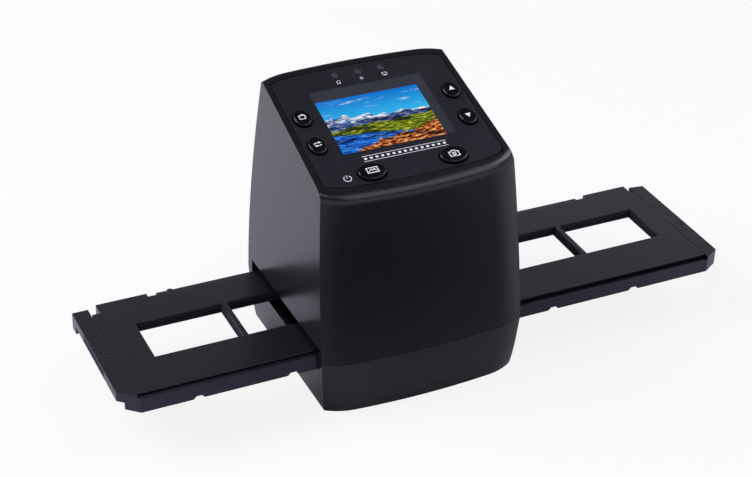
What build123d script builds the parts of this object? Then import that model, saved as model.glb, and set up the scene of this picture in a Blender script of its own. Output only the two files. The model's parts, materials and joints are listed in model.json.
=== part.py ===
from build123d import *
import math
import os

# Desktop film negative scanner: a tall casing with a sloping control panel, and a film holder that
# slides from side to side through a slot just above the base.
# Frame: X to the right, Y to the rear, Z up. X = 0 is the casing's middle, Y = 0 the optical axis
# and Z = 0 the desk.

os.makedirs("parts", exist_ok=True)

# ---------------------------------------------------------------- shared by all pieces
over = 1.0                    # cutters run this far past the faces they cut
root = 0.5                    # added bodies start this far inside what carries them
fit_gap = 0.1                 # clearance of parts that locate each other
run_gap = 0.3                 # clearance of parts that slide
screw_gap = 0.1
cutter = 200.0                # side of the block that trims the casing to the panel's plane
level_tolerance = 0.05        # edges this near the panel's plane lie in it
small_hole = 0.8              # radius of the pilot hole for a small screw
small_head = 1.6              # radius of its head
small_head_height = 1.1
screw_bite = 4.0              # how far a small screw reaches into its post
screw_short = 0.3             # a screw stops this far before the end of its hole

# ---------------------------------------------------------------- casing
wall = 2.2                    # casing wall
floor = 2.0                   # base floor
seam_z = 24.0                 # parting line between the base shell and the upper housing
seam_gap = 0.2                # reveal at the parting line
widest_half = 43.2            # half width at the parting line
front_margin = 3.1            # at the parting line, from the holder's front guide to the front corners
rear_margin = 8.2             # from its rear guide to the rear corners
foot_taper = 2.2              # the casing is this much narrower on each side at the desk
foot_front_taper = 2.1
foot_rear_taper = 2.6
flare_power = 0.7             # how quickly the base widens above the desk
side_lean = 4.3               # how far the sides lean in at the height of the panel's rear edge
front_lean = 11.9
rear_lean = 5.6
lean_power = 1.7              # sides and back bow inwards towards the top
front_bulge = 5.6             # the front bows out this far past its corner edges
front_drop = 1.4              # and its long middle arc falls this far to its ends
rear_bulge = 3.5
rear_drop = 0.8
shoulder_share = 0.72         # where the corner arcs of a bowed end begin
front_roll = 4.6              # radius of the front top edge
top_edge_round = 1.4          # radius of the rear top edge
blank_top = 8.0               # the casing's form runs on this far over the panel before it is trimmed
tongue = 1.0                  # lip of the base that stands inside the housing's rebate
tongue_height = 1.8
tongue_root = 3.0             # how far the lip reaches down inside the base's wall
pad_radius = 5.0
pad_thickness = 1.0
pad_x = 30.0
pad_y = 26.0
rib_thickness = 2.0           # ribs that tie the screw columns to the front and back walls
rib_reach = 12.0

# ---------------------------------------------------------------- sloping control panel
panel_front_z = 94.1          # height of the panel's front corners
panel_rear_z = 110.0          # height of its rear corners
front_rim = 3.3               # casing left around the panel
rear_rim = 3.9
front_side_rim = 2.8
rear_side_rim = 2.5
panel_front_bulge = 3.8
panel_rear_bulge = 3.3
panel_end_drop = 0.9
panel_corner = 2.2
panel_thickness = 2.0
panel_gap = 0.35              # dark line around the panel
roof = 3.6                    # housing roof under and around the panel
ledge = 1.8                   # width of the ledge that carries the panel
window_glass = 1.2
window_ledge = 1.0
glass_gap = 0.05
display_margin = 3.0          # the display module reaches this far past its window
display_side_gap = 0.65       # air between the module and the side keys' rims
display_front_gap = 3.45      # and between the module and the front keys' rims
display_rear_gap = 2.3        # and between the module and the status lights
display_thickness = 3.0
display_drop = 0.2            # air between the panel and the display module
spacer_height = 3.2
spacer_wall = 1.5
board_thickness = 1.6
board_inset = 2.4             # key board edge inside the panel edge
led_window_radius = 1.45
led_pitch = 9.9
led_setback = 1.0             # status lights ahead of the panel's rear corners
led_radius = 1.5
led_height = 3.0
led_guide_proud = 0.15
post_radius = 2.2             # posts under the panel that carry the key board
post_setback = 5.4            # from the panel's side edge
post_front_v = 8.5
post_rear_gap = 8.7           # from the panel's rear corners

# ---------------------------------------------------------------- keys
side_key = (3.5, 4.5)         # half width and half length of the upright oval keys
front_key = (5.75, 4.25)      # the same of the two wide keys
side_key_setback = 4.7        # from the panel's side edge
front_key_x = 17.0
front_key_v = 2.0             # along the slope, from the panel's front corners
upper_key_step = 4.5          # side keys behind and ahead of the display's middle
lower_key_step = 10.9
key_proud = 1.3
key_edge = 0.75               # rounding of the key's top edge
key_gap = 0.35                # running gap between key and panel
key_flange = 0.8              # rim behind the panel that keeps the key in
key_flange_height = 1.0
key_flange_gap = 0.15
key_stem = 2.0                # radius
key_travel = 0.8
switch_size = 6.0
switch_height = 3.1
switch_bore = 1.75
plunger_gap = 0.05
plunger_rise = 1.2            # how far the plunger stands out of its switch
plunger_depth = 1.2           # how far it reaches into the switch

# ---------------------------------------------------------------- film holder
frame_count = 6
frame_width = 36.0
frame_bar = 2.0               # between pictures: with it, each takes eight perforations of the film
frame_height = 24.0
gate_margin = 0.4             # the lower windows are this much smaller all round
window_bevel = 0.4            # the upper windows widen by this to the full frame
holder_shift = 12.1           # where the holder stands in its slot at rest
holder_bottom = 19.9
frame_thickness = 4.8         # under the cover
cover_thickness = 2.2
plate_thickness = 4.0         # cover and frame together, between the deeper rails
under_rail_front = 4.4        # width of those rails on the underside
under_rail_rear = 6.5
holder_front = -34.4
holder_rear = 30.1
left_field = 13.0             # from the row of frames to the left end bar
right_field = 8.7
left_end = 6.5                # length of the end bars
right_end = 6.5
corner_cut = 6.6              # slanted corner at the front of each end
left_corner = 7.4
right_corner = 4.0
end_step = 2.0                # the end bars stop this far ahead of the rear edge
end_slant = 1.0
rail_left_width = 2.1         # front rail beside the cover, left part
rail_right_width = 1.4
rail_left_drop = 0.7          # the rails lie this far below the cover's top
rail_right_drop = 1.4
rail_rear_drop = 0.7
finger_half = 39.0            # the front rail dips here so that the cover can be lifted
finger_ramp = 7.0
finger_skin = 0.3
cover_gap = 0.4
cover_front_gap = 0.4
front_groove = 1.4            # the wide groove ahead of the cover's right part goes this far below it
rear_rail_width = 1.2         # rear rail of the frame, beside the cover's cut-back edge
rear_rail_gap = 1.0
hinge_length = 21.0           # hinge blocks of the cover
hinge_left_gap = 3.7
hinge_right_gap = 1.7
hinge_bite = 4.0              # open bite beside each hinge block
hinge_block_depth = 5.4
hinge_notch_depth = 6.1
hinge_clearance = 0.3         # under the hinge blocks
pin_radius = 0.75
pin_clearance = 0.05
pin_inset = 3.6               # pin axis ahead of the rear edge
pin_rise = 2.0                # and over the holder's underside
pin_seat = 4.0                # how far a pin reaches into the end bar
pin_bite = 15.0               # and into its hinge block
pin_play = 0.3                # end play of a pin in its bores
pin_chamfer = 0.2
film_width = 35.4
film_depth = 0.4
film_end = 4.0                # the film channel stops this far inside the end bars
perforation_y = 14.2
peg_radius = 0.6
peg_height = 0.6
peg_gap = 0.2
notch_length = 4.5
notch_height = 1.2
notch_depth = 1.6
knob_offset = 9.5             # latch knob, from the end of the left hinge block
knob_radius = 1.3
knob_height = 0.7
arrow_size = 4.0
arrow_line = 0.5              # width of the engraved line
arrow_depth = 0.4
left_arrow = (5.0, -2.5)      # tip, from the holder's left end
right_arrow = (-1.5, -7.0)    # tip, from its right end

# ---------------------------------------------------------------- slot, gate and optics
slot_below = 0.9              # the slot's lower edge under the holder
slot_lip = 0.2                # its upper edge under the gate cover's top
slot_front_gap = 0.4
slot_rear_lip = 1.0
gate_thickness = 2.0
gate_side_gap = 4.5           # between the gate and the casing's wall
gate_front_rail = 1.7
gate_rear_rail = 5.0
gate_opening_margin = 0.5     # aperture of the gate around one frame
upper_opening_margin = 3.0
ear_x = 12.0                  # screw ears at the gate's front
ear_radius = 2.1
ear_air = 1.2
gate_screw_inset = 3.5
case_shank = 1.0              # radius
case_head = 1.9
case_head_height = 1.3
boss_radius = 2.6
column_height = 12.0
column_cap = 2.0              # solid end of a screw column
tip_gap = 1.0                 # air beyond a case screw's tip
counterbore_depth = 4.0
detent_x = -8.5               # where the detent spring's nose stands in the casing
spring_width = 3.0
spring_thickness = 0.3
spring_length = 18.0
spring_ramp = 7.0             # the leaf rises from here, ahead of its nose
spring_crest = 1.5            # half length of the nose's flat top
spring_nose = 3.5
spring_drop = 1.2             # the nose's tip turns down this far
spring_overlap = 1.0          # the leaf reaches this far under the notches
spring_pocket = 1.0           # room around the leaf in the gate
spring_screw_inset = 3.0
light_margin = 6.0            # light box around one frame
light_wall = 2.0
light_well = (5.0, 4.0)       # its inside is narrower at the bottom
light_board_margin = (6.0, 5.0)
light_board_y = 3.0
light_board_z = 4.0
light_board_thickness = 1.2
light_screw_gap = 3.0         # from the light box to its board's screws
light_screw_half = 15.0
light_screw_bite = 1.6
led_chip = 3.0
led_chip_height = 0.8
led_chip_x = (-14.0, 0.0, 14.0)
led_chip_y = (-8.0, 8.0)
diffuser_thickness = 1.9
diffuser_inset = 0.6
hood_lip = 4.0
hood_screw_inset = 2.0
hood_flange_thickness = 2.0
hood_top = (26.0, 26.0)
hood_wall = 2.0
hood_height = 36.8
barrel_radius = 7.0
barrel_bore = 5.0
barrel_flange = 9.0
barrel_flange_height = 2.0
barrel_below = 4.0
barrel_above = 8.0
element_thickness = 2.4
element_inset = 0.6
element_round = 1.4
element_fit = 0.02
mount_size = 22.0
mount_wall = 1.5
mount_height = 14.0
mount_shelf = 0.8
filter_size = 12.0
filter_thickness = 0.6
sensor_size = 9.0
sensor_thickness = 1.2
sensor_air = 0.4              # between the sensor and its filter
sensor_board_size = 26.0
sensor_board_thickness = 1.2

# ---------------------------------------------------------------- main board
board_side_gap = 11.6         # outer face of the upright main board inside the casing's widest half
board_rear_gap = 5.6
board_length = 55.0
board_bottom_gap = 13.8       # over the gate
board_top_gap = 0.2           # under the key board
boss_small = 2.2
boss_front_inset = 5.0
boss_low_inset = 4.5
boss_high_inset = 3.0
boss_card_gap = 7.0           # lower rear boss ahead of the card socket
boss_usb_gap = 15.0           # upper rear boss ahead of the USB socket
card_drop = 12.5              # card socket below the board's top
card_width = 24.5
card_length = 25.8
card_rear_gap = 2.8
card_thickness = 3.2
card_slot = 2.2
socket_skin = 0.4
socket_back = 1.5
usb_drop = 2.2
usb_width = 7.8
usb_length = 8.4
usb_rear_gap = 3.2
usb_thickness = 4.0
usb_tongue = (0.8, 4.4)
port_gap = 0.3
processor_size = 14.0
processor_height = 1.4
processor_front_gap = 10.0    # from the board's front edge
processor_rise = 15.0         # from its lower edge
memory_size = (8.0, 12.0)
memory_height = 1.0
memory_rear_gaps = (24.0, 13.0)   # front edge of each chip to the board's rear edge
memory_rise = 7.0

# ---------------------------------------------------------------- cables
connector_height = 2.0
connector_width = 4.0
connector_margin = 1.0        # a flat cable's connector is this much wider on each side
sensor_connector_x = -10.0
ribbon = 0.3
lead_radius = 0.8
display_lead_y = (6.0, 16.0)
sensor_lead_y = (-5.0, 5.0)
display_lead_gap = 8.0        # from the main board to the flat cables' upright runs
sensor_lead_gap = 7.0
display_lead_drop = 8.0       # display cable's connector below the board's top
sensor_lead_rise = 11.0       # sensor cable's connector over the board's lower edge
display_lead_bend = 2.0
sensor_lead_bend = 2.5
backlight_lead_gap = 4.0
lead_socket_rise = 2.5
lead_socket_y = 27.0
lead_socket_half = 3.0
lead_connector = 3.0
lead_connector_edge = 1.0
lead_air = 0.6                # between the round lead and the film gate
lead_turns = (4.8, 12.8)      # heights over the gate between which the lead leans forward
lead_bends = (4.5, 8.0, 3.5)

# ---------------------------------------------------------------- places of the holder and its guides
frame_pitch = frame_width + frame_bar
frame_centres = [(i - (frame_count - 1) / 2) * frame_pitch for i in range(frame_count)]
field_half = frame_count * frame_pitch / 2
holder_split = holder_bottom + frame_thickness    # the cover lies on the frame here
holder_top = holder_split + cover_thickness
plate_bottom = holder_top - plate_thickness
left_bar = -field_half - left_field               # inner edges of the end bars
right_bar = field_half + right_field
holder_left = left_bar - left_end
holder_right = right_bar + right_end
rail_left_inner = holder_front + rail_left_width
rail_right_inner = holder_front + rail_right_width
rail_left_top = holder_top - rail_left_drop
rail_right_top = holder_top - rail_right_drop
rail_rear_top = holder_top - rail_rear_drop
cover_front = rail_left_inner + cover_front_gap
cover_rear_cut = holder_rear - rear_rail_width - rear_rail_gap
hinge_left = (left_bar + hinge_left_gap, left_bar + hinge_left_gap + hinge_length)
hinge_right = (right_bar - hinge_right_gap - hinge_length, right_bar - hinge_right_gap)
hinge_block_y = holder_rear - hinge_block_depth
hinge_bottom = holder_bottom + hinge_clearance
pin_y = holder_rear - pin_inset
pin_z = holder_bottom + pin_rise
knob_x = hinge_left[1] + knob_offset
knob_y = holder_rear - knob_radius
gate_top = holder_bottom - run_gap                # sliding face under the holder
gate_bottom = gate_top - gate_thickness
guide_bottom = holder_top + run_gap               # face above the holder
guide_top = guide_bottom + gate_thickness
rail_front_y = holder_front - run_gap
rail_rear_y = holder_rear + run_gap
gate_front_y = rail_front_y - gate_front_rail
gate_rear_y = rail_rear_y + gate_rear_rail
gate_half = widest_half - wall - gate_side_gap
slot_bottom = holder_bottom - slot_below
slot_top = guide_top - slot_lip
slot_front_y = holder_front - slot_front_gap
slot_rear_y = gate_rear_y - slot_rear_lip

# ---------------------------------------------------------------- places of the casing and its panel
seam_front_y = rail_front_y - front_margin        # front corner edges at the parting line
seam_rear_y = rail_rear_y + rear_margin
lean_span = panel_rear_z - seam_z


def casing_half(z):
    if z <= seam_z:
        return widest_half - foot_taper * (1 - (z / seam_z) ** flare_power)
    return widest_half - side_lean * ((z - seam_z) / lean_span) ** lean_power


def casing_front(z):
    if z <= seam_z:
        return seam_front_y + foot_front_taper * (1 - (z / seam_z) ** flare_power)
    return seam_front_y + front_lean * (z - seam_z) / lean_span


def casing_rear(z):
    if z <= seam_z:
        return seam_rear_y - foot_rear_taper * (1 - (z / seam_z) ** flare_power)
    return seam_rear_y - rear_lean * ((z - seam_z) / lean_span) ** lean_power


panel_front_y = casing_front(panel_front_z) + front_rim
panel_rear_y = casing_rear(panel_rear_z) - rear_rim
panel_length = math.hypot(panel_rear_y - panel_front_y, panel_rear_z - panel_front_z)
slope = math.atan2(panel_rear_z - panel_front_z, panel_rear_y - panel_front_y)
panel_front_half = casing_half(panel_front_z) - front_side_rim
panel_rear_half = casing_half(panel_rear_z) - rear_side_rim
panel = Plane(
    origin=(0, panel_front_y, panel_front_z),
    x_dir=(1, 0, 0),
    z_dir=(0, -math.sin(slope), math.cos(slope)),
)
blank_rise = panel_rear_z + blank_top - seam_z
housing_heights = [seam_z + share * blank_rise for share in (0, 1 / 3, 2 / 3, 1)]
ear_y = seam_front_y - front_bulge + wall + ear_radius + ear_air
rear_screw_x = gate_half - gate_screw_inset
rear_screw_y = (rail_rear_y + gate_rear_y) / 2
screw_places = [
    (-ear_x, ear_y),
    (ear_x, ear_y),
    (-rear_screw_x, rear_screw_y),
    (rear_screw_x, rear_screw_y),
]
pad_places = [(x, y) for x in (-pad_x, pad_x) for y in (-pad_y, pad_y)]

# heights in the panel's plane are measured from its face, so those of pieces below it are negative
display_top = -panel_thickness - display_drop
display_bottom = display_top - display_thickness
key_board_top = display_bottom - spacer_height
key_board_bottom = key_board_top - board_thickness
flange_top = -panel_thickness - key_flange_gap
stem_bottom = key_board_top + switch_height + plunger_rise
side_key_x = panel_rear_half - side_key_setback
led_places = [-led_pitch, 0, led_pitch]
led_v = panel_length - led_setback
window_width = 2 * (side_key_x - side_key[0] - key_flange - display_side_gap - display_margin)
window_start = front_key_v + front_key[1] + key_flange + display_front_gap + display_margin
window_length = led_v - led_radius - display_rear_gap - display_margin - window_start
window_middle = window_start + window_length / 2
display_size = (window_width + 2 * display_margin, window_length + 2 * display_margin)
key_places = {
    "mode": (-side_key_x, window_middle + upper_key_step, side_key),
    "flip": (-side_key_x, window_middle - lower_key_step, side_key),
    "up": (side_key_x, window_middle + upper_key_step, side_key),
    "down": (side_key_x, window_middle - lower_key_step, side_key),
    "power": (-front_key_x, front_key_v, front_key),
    "capture": (front_key_x, front_key_v, front_key),
}
post_x = panel_rear_half - post_setback
post_places = [(x, v) for x in (-post_x, post_x) for v in (post_front_v, panel_length - post_rear_gap)]

# ---------------------------------------------------------------- places of the optics, boards and cables
gate_opening = (frame_width + 2 * gate_opening_margin, frame_height + 2 * gate_opening_margin)
upper_opening = (frame_width + 2 * upper_opening_margin, frame_height + 2 * upper_opening_margin)
spring_y = holder_front + notch_depth + spring_width / 2 - spring_overlap
spring_screw_x = detent_x - spring_length + spring_screw_inset
light_size = (frame_width + 2 * light_margin, frame_height + 2 * light_margin)
light_board = (light_size[0] + 2 * light_board_margin[0], light_size[1] + 2 * light_board_margin[1])
light_board_top = light_board_z + light_board_thickness
light_screw_x = light_size[0] / 2 + light_screw_gap
light_screw_places = [
    (x, light_board_y + y)
    for x in (-light_screw_x, light_screw_x)
    for y in (-light_screw_half, light_screw_half)
]
hood_base = (upper_opening[0] + 2 * hood_wall, upper_opening[1] + 2 * hood_wall)
hood_flange = (hood_base[0] + 2 * hood_lip, hood_base[1] + 2 * hood_lip)
hood_screw_x = hood_flange[0] / 2 - hood_screw_inset
hood_screw_y = hood_flange[1] / 2 - hood_screw_inset
hood_screw_places = [(i * hood_screw_x, j * hood_screw_y) for i in (-1, 1) for j in (-1, 1)]
hood_top_z = guide_top + hood_height
sensor_top = hood_top_z + mount_height
shelf_top = sensor_top - sensor_thickness - filter_thickness - sensor_air

board_x = board_side_gap - widest_half
board_inner_x = board_x + board_thickness
board_rear_y = seam_rear_y - board_rear_gap
board_front_y = board_rear_y - board_length
board_low_z = guide_top + board_bottom_gap
board_high_z = panel_front_z + key_board_bottom / math.cos(slope) - board_top_gap
card_z = (board_high_z - card_drop - card_width, board_high_z - card_drop)
card_y = (seam_rear_y - card_rear_gap - card_length, seam_rear_y - card_rear_gap)
usb_z = (board_high_z - usb_drop - usb_width, board_high_z - usb_drop)
usb_y = (seam_rear_y - usb_rear_gap - usb_length, seam_rear_y - usb_rear_gap)
board_bosses = [
    (board_front_y + boss_front_inset, board_low_z + boss_low_inset),
    (card_y[0] - boss_card_gap, board_low_z + boss_low_inset),
    (board_front_y + boss_front_inset, board_high_z - boss_high_inset),
    (usb_y[0] - boss_usb_gap, board_high_z - boss_high_inset),
]
display_lead_x = board_inner_x + display_lead_gap
display_lead_z = board_high_z - display_lead_drop
sensor_lead_x = board_inner_x + sensor_lead_gap
sensor_lead_z = board_low_z + sensor_lead_rise
backlight_lead_x = board_inner_x + backlight_lead_gap
lead_socket_z = board_low_z + lead_socket_rise
lead_start_y = light_board_y + light_board[1] / 2 - lead_connector_edge


def group(solids):
    return Compound(children=list(solids))


def block(x, y, z):
    # a box from its low and high limits on each axis
    size = [limits[1] - limits[0] for limits in (x, y, z)]
    middle = [(limits[1] + limits[0]) / 2 for limits in (x, y, z)]
    return Pos(*middle) * Box(*size)


def rod(radius, low, high, x=0.0, y=0.0):
    return Pos(x, y, (low + high) / 2) * Cylinder(radius, high - low)


def screw(shank, head, head_height, length):
    # pan head at the top, its underside at Z = 0, with a cross recess
    body = rod(shank, -length, 0) + rod(head, 0, head_height)
    cross = Box(head * 1.1, head * 0.3, head_height) + Box(head * 0.3, head * 1.1, head_height)
    return body - Pos(0, 0, head_height) * cross


def small_screw(length):
    return screw(small_hole - screw_gap, small_head, small_head_height, length)


def upright(radius, low, high, y, z):
    # a rod along X
    return Pos((low + high) / 2, y, z) * Rot(0, 90, 0) * Cylinder(radius, high - low)


# ---------------------------------------------------------------- bowed outlines
def bowed_end(half, corner_y, bulge, drop, facing):
    # a long flat arc with a tighter arc, tangent to it, at each corner
    shoulder_x = shoulder_share * half
    shoulder_y = corner_y + facing * (bulge - drop)
    radius = (shoulder_x**2 + drop**2) / (2 * drop)
    turn = math.asin(shoulder_x / radius)
    middle = ThreePointArc(
        (-shoulder_x, shoulder_y), (0, corner_y + facing * bulge), (shoulder_x, shoulder_y)
    )
    right = TangentArc(
        (shoulder_x, shoulder_y),
        (half, corner_y),
        tangent=(math.cos(turn), -facing * math.sin(turn)),
    )
    return [mirror(right, Plane.YZ), middle, right]


def bowed_outline(front_half, rear_half, front_y, rear_y, bulges, drops):
    edges = bowed_end(front_half, front_y, bulges[0], drops[0], -1)
    edges += bowed_end(rear_half, rear_y, bulges[1], drops[1], 1)
    edges += [Line((side * front_half, front_y), (side * rear_half, rear_y)) for side in (-1, 1)]
    return make_face(edges)


def casing_outline(z, inset):
    # plan outline of the casing at a height, moved inwards by the inset
    half = casing_half(z) - inset
    outline = bowed_outline(
        half,
        half,
        casing_front(z) + inset,
        casing_rear(z) - inset,
        (front_bulge, rear_bulge),
        (front_drop, rear_drop),
    )
    return Pos(0, 0, z) * outline


def casing_solid(heights, inset):
    return loft([casing_outline(z, inset) for z in heights])


def base_body(low, high, inset):
    step = (high - low) / 3
    return casing_solid([low, low + step, low + 2 * step, high], inset)


def housing_body(inset):
    return casing_solid(housing_heights, inset)


def above_panel(depth):
    # everything above the plane that lies this deep under the panel's face
    return panel.location * Pos(0, 0, cutter / 2 - depth) * Box(cutter, cutter, cutter)


def panel_outline(inset):
    outline = bowed_outline(
        panel_front_half - inset,
        panel_rear_half - inset,
        inset,
        panel_length - inset,
        (panel_front_bulge, panel_rear_bulge),
        (panel_end_drop, panel_end_drop),
    )
    corners = outline.vertices().sort_by(Axis.X)
    return fillet(corners[:2] + corners[-2:], panel_corner)


def panel_prism(sketch, low, high):
    # a sketch in the panel's plane, extruded between two heights over its face
    return panel.location * extrude(Pos(0, 0, low) * sketch, high - low)


def panel_box(width, length, middle_v, low, high, middle_x=0.0):
    return panel_prism(Pos(middle_x, middle_v) * Rectangle(width, length), low, high)


# ---------------------------------------------------------------- casing pieces
def side_slot():
    reach = widest_half + over
    return block((-reach, reach), (slot_front_y, slot_rear_y), (slot_bottom, slot_top))


def base_shell():
    rim = seam_z - seam_gap / 2
    outer = base_body(0, rim, 0)
    shell = outer - base_body(floor, rim, wall)
    lip_top = seam_z + seam_gap / 2 + tongue_height
    lip = base_body(rim - tongue_root, lip_top, wall - tongue)
    lip -= base_body(rim - tongue_root - over, lip_top + over, wall)
    shell += lip
    bosses = [rod(boss_radius, 0, gate_bottom, x, y) for x, y in screw_places]
    light_posts = [rod(boss_small, 0, light_board_z, x, y) for x, y in light_screw_places]
    shell += outer & Part() + (bosses + light_posts)
    for x, y in screw_places:
        shell -= rod(case_shank + screw_gap, -over, gate_bottom + over, x, y)
        shell -= rod(case_head + screw_gap, -over, counterbore_depth, x, y)
    for x, y in light_screw_places:
        shell -= rod(small_hole, floor, light_board_z + over, x, y)
    for x, y in pad_places:
        shell -= rod(pad_radius + fit_gap, -over, pad_thickness, x, y)
    return shell - side_slot()


def rubber_feet():
    return group(rod(pad_radius, 0, pad_thickness, x, y) for x, y in pad_places)


def case_screws():
    # they clamp base, film gate and housing together, with their heads in the base's counterbores
    length = guide_top + column_height - column_cap - tip_gap - counterbore_depth
    one = Rot(180, 0, 0) * screw(case_shank, case_head, case_head_height, length)
    return group(Pos(x, y, counterbore_depth) * one for x, y in screw_places)


def housing_columns(outer):
    # screw columns over the gate, each tied to the nearest wall by a rib
    heights = (guide_top, guide_top + column_height)
    parts = []
    for x, y in screw_places:
        wall_y = y + math.copysign(rib_reach, y)
        parts.append(rod(boss_radius, *heights, x, y))
        parts.append(block((x - rib_thickness / 2, x + rib_thickness / 2), sorted((y, wall_y)), heights))
    return outer & Part() + parts


def board_posts(outer):
    posts = [upright(boss_small, -widest_half - over, board_x, y, z) for y, z in board_bosses]
    return outer & Part() + posts


def port_cuts():
    beyond = seam_rear_y + rear_bulge + over
    card = block(
        (board_x - card_thickness, board_x),
        (card_y[1] - over, beyond),
        (card_z[0] + port_gap, card_z[1] - port_gap),
    )
    usb = block(
        (board_x - usb_thickness - port_gap, board_x + port_gap),
        (usb_y[1] - over, beyond),
        (usb_z[0] - port_gap, usb_z[1] + port_gap),
    )
    return card + usb


def top_edges(solid, front):
    # edges in the panel's plane along the bowed front or the bowed rear
    found = []
    for edge in solid.edges():
        place = panel.to_local_coords(edge.center())
        level = abs(place.Z) < level_tolerance
        if level and (place.Y < 0 if front else place.Y > panel_length):
            found.append(edge)
    return found


def upper_housing():
    outer = housing_body(0) - above_panel(0)
    outer = fillet(top_edges(outer, True), front_roll)
    outer = fillet(top_edges(outer, False), top_edge_round)
    outer -= casing_solid([seam_z - over, seam_z + seam_gap / 2], -over)
    cavity = housing_body(wall) - above_panel(roof)
    shell = outer - cavity
    rebate_top = seam_z + seam_gap / 2 + tongue_height + 2 * fit_gap
    shell -= casing_solid([seam_z - over, rebate_top], wall - tongue - fit_gap)
    shell += housing_columns(outer) + board_posts(outer)
    for x, y in screw_places:
        shell -= rod(case_shank + fit_gap, guide_top - over, guide_top + column_height - column_cap, x, y)
    for y, z in board_bosses:
        shell -= upright(small_hole, board_x - screw_bite - over, board_x + over, y, z)
    shell -= panel_prism(panel_outline(-panel_gap), -panel_thickness, over)
    shell -= panel_prism(panel_outline(ledge), -roof - over, over)
    for x, v, size in key_places.values():
        reach = key_flange + 3 * key_gap
        shell -= panel_prism(Pos(x, v) * Ellipse(size[0] + reach, size[1] + reach), -roof - over, 0)
    return shell - port_cuts() - side_slot()


# ---------------------------------------------------------------- control panel and display
def top_panel():
    plate = panel_prism(panel_outline(0), -panel_thickness, 0)
    post = Circle(post_radius) - Circle(small_hole)
    plate += [panel_prism(Pos(x, v) * post, key_board_top, -panel_thickness) for x, v in post_places]
    clear = (-panel_thickness - over, over)
    plate -= panel_box(window_width, window_length, window_middle, -window_glass, over)
    plate -= panel_box(
        window_width - 2 * window_ledge, window_length - 2 * window_ledge, window_middle, *clear
    )
    for x, v, size in key_places.values():
        plate -= panel_prism(Pos(x, v) * Ellipse(size[0] + key_gap, size[1] + key_gap), *clear)
    for x in led_places:
        plate -= panel_prism(Pos(x, led_v) * Circle(led_window_radius + glass_gap), *clear)
    return plate


def display_window():
    width = window_width - 2 * glass_gap
    length = window_length - 2 * glass_gap
    return panel_box(width, length, window_middle, -window_glass, -glass_gap)


def display_module():
    return panel_box(*display_size, window_middle, display_bottom, display_top)


def display_frame():
    width, length = display_size
    ring = Rectangle(width, length) - Rectangle(width - 2 * spacer_wall, length - 2 * spacer_wall)
    return panel_prism(Pos(0, window_middle) * ring, key_board_top, display_bottom)


def key_board():
    board = panel_prism(panel_outline(board_inset), key_board_bottom, key_board_top)
    for x, v in post_places:
        hole = Pos(x, v) * Circle(small_hole + screw_gap)
        board -= panel_prism(hole, key_board_bottom - over, key_board_top + over)
    return board


def panel_screws():
    one = Rot(180, 0, 0) * small_screw(board_thickness + screw_bite)
    return group(panel.location * Pos(x, v, key_board_bottom) * one for x, v in post_places)


def tact_switches():
    body = Rectangle(switch_size, switch_size)
    switches = []
    for x, v, size in key_places.values():
        top = key_board_top + switch_height
        switch = panel_prism(Pos(x, v) * body, key_board_top, top)
        well = plunger_depth + key_travel + run_gap
        switches.append(switch - panel_prism(Pos(x, v) * Circle(switch_bore), top - well, top + over))
    return group(switches)


def status_leds():
    return group(
        panel_prism(Pos(x, led_v) * Circle(led_radius), key_board_top, key_board_top + led_height)
        for x in led_places
    )


def led_windows():
    low = key_board_top + led_height
    disc = Circle(led_window_radius)
    return group(panel_prism(Pos(x, led_v) * disc, low, led_guide_proud) for x in led_places)


def key_cap(x, v, size):
    low = flange_top - key_flange_height
    cap = extrude(Pos(0, 0, low) * Ellipse(*size), key_proud - low)
    cap = fillet(cap.edges().sort_by(Axis.Z)[-1], key_edge)
    rim = Ellipse(size[0] + key_flange, size[1] + key_flange)
    cap += extrude(Pos(0, 0, low) * rim, key_flange_height)
    cap += rod(key_stem, stem_bottom, flange_top)
    return panel.location * Pos(x, v) * cap


def key_plunger(x, v):
    low = key_board_top + switch_height - plunger_depth
    return panel.location * Pos(x, v) * rod(switch_bore - plunger_gap, low, stem_bottom)


# ---------------------------------------------------------------- film gate and backlight
def gate_footprint():
    outline = Pos(0, (gate_front_y + gate_rear_y) / 2) * Rectangle(2 * gate_half, gate_rear_y - gate_front_y)
    for x, y in screw_places[:2]:
        outline += Pos(x, y) * Circle(ear_radius)
        outline += Pos(x, (y + gate_front_y) / 2) * Rectangle(2 * ear_radius, gate_front_y - y)
    for x, y in screw_places:
        outline -= Pos(x, y) * Circle(case_shank + screw_gap)
    return outline


def film_gate():
    # plate under the holder, with a rail on each side of it
    gate = extrude(Pos(0, 0, gate_bottom) * gate_footprint(), guide_bottom - gate_bottom)
    channel_half = gate_half + over
    gate -= block((-channel_half, channel_half), (rail_front_y, rail_rear_y), (gate_top, guide_bottom + over))
    gate -= Pos(0, 0, gate_bottom) * Box(*gate_opening, 3 * gate_thickness)
    through = (gate_bottom - over, gate_top + over)
    pocket_half = spring_width / 2 + run_gap
    gate -= block(
        (detent_x - spring_ramp - spring_pocket, detent_x + spring_nose + spring_pocket),
        (spring_y - pocket_half, spring_y + pocket_half),
        through,
    )
    return gate - rod(small_hole, *through, spring_screw_x, spring_y)


def detent_spring():
    # leaf spring, pressed down by the holder's front rail, whose nose drops into the rail's notches
    flat = gate_bottom - spring_thickness / 2
    crest = gate_top - spring_thickness / 2
    path = Polyline(
        (detent_x - spring_length, flat),
        (detent_x - spring_ramp, flat),
        (detent_x - spring_crest, crest),
        (detent_x + spring_crest, crest),
        (detent_x + spring_nose, crest - spring_drop),
    )
    strip = trace(path, spring_thickness)
    leaf = extrude(Plane.XZ.offset(-(spring_y + spring_width / 2)) * strip, spring_width)
    return leaf - rod(small_hole, gate_bottom - over, gate_bottom + over, spring_screw_x, spring_y)


def spring_screw():
    one = Rot(180, 0, 0) * small_screw(gate_thickness + spring_thickness - screw_short)
    return Pos(spring_screw_x, spring_y, gate_bottom - spring_thickness) * one


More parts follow.
